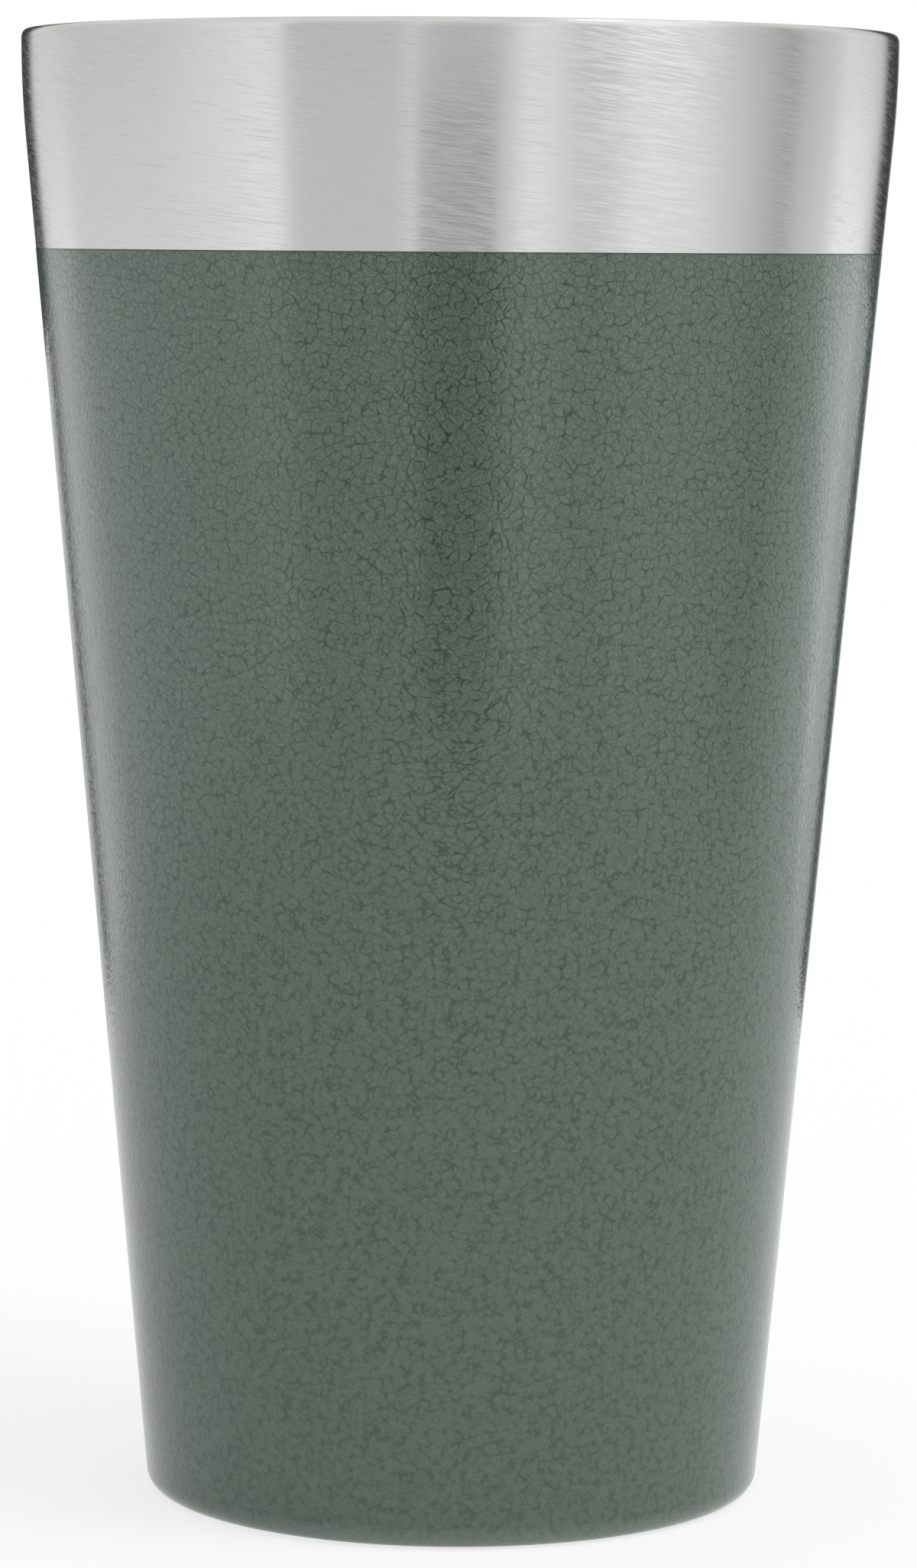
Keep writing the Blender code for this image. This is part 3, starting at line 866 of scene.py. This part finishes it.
def hang(name, bm, cloth):
    """Hangs a lit cloth on the stage, where only gloss shows it."""
    hung = add_object(name, bm, cloth)
    hung.visible_camera = False
    hung.visible_diffuse = False
    hung.visible_shadow = False


tent_cloth, tree, shader = start_material("lit tent cloth")
tree.nodes.remove(shader)
place = node(tree, "TexCoord").outputs["Object"]
faced = node(tree, "Mapping", {"Vector": place, "Rotation": (0, 0, math.pi / 2)})
azimuth = node(tree, "TexGradient", {0: faced}, gradient_type="RADIAL").outputs["Fac"]
plan = node(tree, "ValToRGB", {0: azimuth})
stops = plan.color_ramp.elements
for angle, glow in TENT_LIGHT:
    stops.new(0.5 + angle / 360).color = (glow, glow, glow, 1)
stops.remove(stops[0])
stops.remove(stops[-1])
height = node(tree, "SeparateXYZ", {0: place}).outputs["Z"]
strength = node(
    tree,
    "MapRange",
    {"Value": height, "From Min": FOOT_FADE[0], "From Max": FOOT_FADE[1], "To Min": FOOT_GLOW, "To Max": 1.0},
)
upper = node(tree, "MapRange", {"Value": height, "From Min": TOP_FADE[0], "From Max": TOP_FADE[1]})
cloth = node(tree, "Mix", {"Factor": upper, "A": plan, "B": linear(WHITE)}, data_type="RGBA")
glowing = node(tree, "Emission", {"Color": cloth, "Strength": strength})
feed(tree.nodes["Material Output"], {"Surface": glowing})
tent_section = ((TENT_RADIUS, 0.0), (TENT_RADIUS, TENT_HEIGHT))
hang("light_tent", turned(tent_section, steps=96, closed=False), tent_cloth)

# Cards: low boards of lit cloth just inside the tent, which the lower part of the painted wall shows.
# A dim one at the front darkens the middle of the wall, and bright ones light its sides.
CARD_RADIUS = 0.31
# Degrees round the tent from start to end, share of that width at the foot, height and brightness
CARDS = {
    "dark_card": (-10, 9, 1.0, 115 * MM, 0.36),
    "left_card": (-120, -62, 1.0, 98 * MM, 1.2),
    "left_edge": (-137, -120, 1.0, 110 * MM, 1.4),
    "left_rim": (-172, -151, 1.0, 110 * MM, 0.8),
    "right_card": (108, 134, 0.0, 110 * MM, 1.7),
    "right_edge": (134, 147, 1.0, 110 * MM, 0.95),
}

for name, (start, end, foot_share, top, glow) in CARDS.items():
    card_section = ((CARD_RADIUS, 0.0), (CARD_RADIUS, top))
    card_bm = turned(card_section, steps=12, angle=math.radians(end - start), closed=False)
    from_camera = Matrix.Rotation(math.radians(start - 90), 3, "Z")
    bmesh.ops.rotate(card_bm, verts=card_bm.verts, cent=(0, 0, 0), matrix=from_camera)
    for corner in card_bm.verts:
        if corner.co.z == 0.0:
            to_end = math.radians(end) - math.atan2(corner.co.x, -corner.co.y)
            corner.co = Matrix.Rotation(to_end * (1 - foot_share), 3, "Z") @ corner.co
    card_cloth, tree, shader = start_material(name)
    tree.nodes.remove(shader)
    glowing = node(tree, "Emission", {"Color": linear(WHITE), "Strength": glow})
    feed(tree.nodes["Material Output"], {"Surface": glowing})
    hang(name, card_bm, card_cloth)

# Camera: a long lens a little below the height of the rim, looking down by a few degrees at the cup's front.
# The picture shows colours as they are written.
CAMERA_PLACE = (0.31 * MM, -588.9 * MM, 133.1 * MM)
CAMERA_PITCH = math.radians(5.604)
CAMERA_ROLL = math.radians(0.378)
SENSOR_WIDTH = 36.0  # in millimetres, as lenses are marked
FOCAL_LENGTH = 127.68  # in millimetres too
NEAR_CLIP = 0.01

lens = bpy.data.cameras.new("camera")
lens.sensor_width = SENSOR_WIDTH
lens.lens = FOCAL_LENGTH
lens.clip_start = NEAR_CLIP
camera = bpy.data.objects.new("camera", lens)
bpy.context.scene.collection.objects.link(camera)
camera.matrix_world = (
    Matrix.Translation(CAMERA_PLACE)
    @ Matrix.Rotation(math.pi / 2 - CAMERA_PITCH, 4, "X")
    @ Matrix.Rotation(CAMERA_ROLL, 4, "Z")
)
bpy.context.scene.camera = camera
bpy.context.scene.view_settings.view_transform = "Standard"
